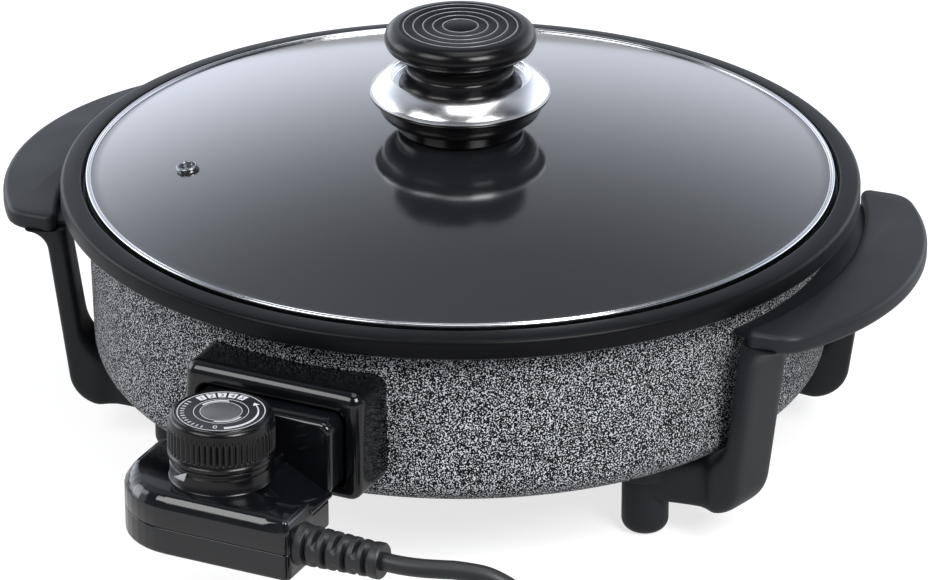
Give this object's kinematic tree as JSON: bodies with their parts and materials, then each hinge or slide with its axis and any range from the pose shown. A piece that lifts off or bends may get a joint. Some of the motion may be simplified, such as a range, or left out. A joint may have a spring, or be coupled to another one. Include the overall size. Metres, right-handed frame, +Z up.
{
  "type": "electric multicooker",
  "caption": "Round electric multicooker: hammertone cast pan on handle legs, smoked domed glass lid with knob, and a plug-in thermostat with dial and cord.",
  "frame": {"origin": "middle of the cooker's footprint without its cord, on the table plane that the feet stand on", "axes": "+Z up, +Y from the thermostat side to the back, +X to the right-hand handle"},
  "size_m": [0.4367, 0.5201, 0.1992],
  "materials": {
    "pan_coat": "cast, hammertone paint outside, dark non-stick coat on the rim and inside",
    "matte_black": "fine matt moulded phenolic",
    "gloss_black": "polished moulded phenolic",
    "dial_black": "satin, knurled",
    "dial_face": "satin disc with printed rings",
    "smoked_glass": "smoke-tinted tempered glass",
    "bright_steel": "bright rolled band",
    "chrome": "polished plate",
    "steel": "plain",
    "ceramic": "unglazed white ceramic",
    "brass": "turned",
    "black_rubber": "smooth",
    "switch_body": "moulded"
  },
  "bodies": {
    "pan": {"pan_body": "pan_coat", "heating_element": "steel", "terminal_pins": "steel", "terminal_bushings": "ceramic", "probe_guide": "steel", "inlet_shroud": "gloss_black", "shroud_screws": "steel", "handle_left": "matte_black", "handle_right": "matte_black", "foot_front_left": "matte_black", "foot_front_right": "matte_black", "foot_rear_left": "matte_black", "foot_rear_right": "matte_black", "foot_studs": "steel"},
    "lid": {"lid_glass": "smoked_glass", "lid_band": "bright_steel", "vent_eyelet": "bright_steel", "knob_gasket": "black_rubber", "knob_base": "gloss_black", "knob_dish": "chrome", "knob_cap": "gloss_black", "knob_insert": "brass", "knob_screw": "steel", "knob_washer": "steel"},
    "thermostat": {"upper_housing": "gloss_black", "lower_housing": "gloss_black", "housing_screws": "steel", "dial_collar": "gloss_black", "thermostat_switch": "switch_body", "contact_sleeves": "brass", "sensor_probe": "steel", "strain_relief": "black_rubber", "cord": "black_rubber", "cord_coil": "black_rubber", "cord_tie": "black_rubber", "plug_body": "black_rubber", "plug_pins": "brass"},
    "dial": {"temperature_dial": "dial_black", "dial_plate": "dial_face", "dial_shaft": "steel"}
  },
  "joints": [
    {"name": "lid_lift", "type": "slide", "parent": "pan", "child": "lid", "axis": [0, 0, 1], "range_m": [0, 0.15]},
    {"name": "thermostat_pull", "type": "slide", "parent": "pan", "child": "thermostat", "axis": [-0.0698, -0.9976, 0], "range_m": [0, 0.09]},
    {"name": "dial_turn", "type": "hinge", "parent": "thermostat", "child": "dial", "pos_m": [-0.02054, -0.18395, 0.095], "axis": [0, 0, -1], "range_deg": [0, 270]}
  ]
}
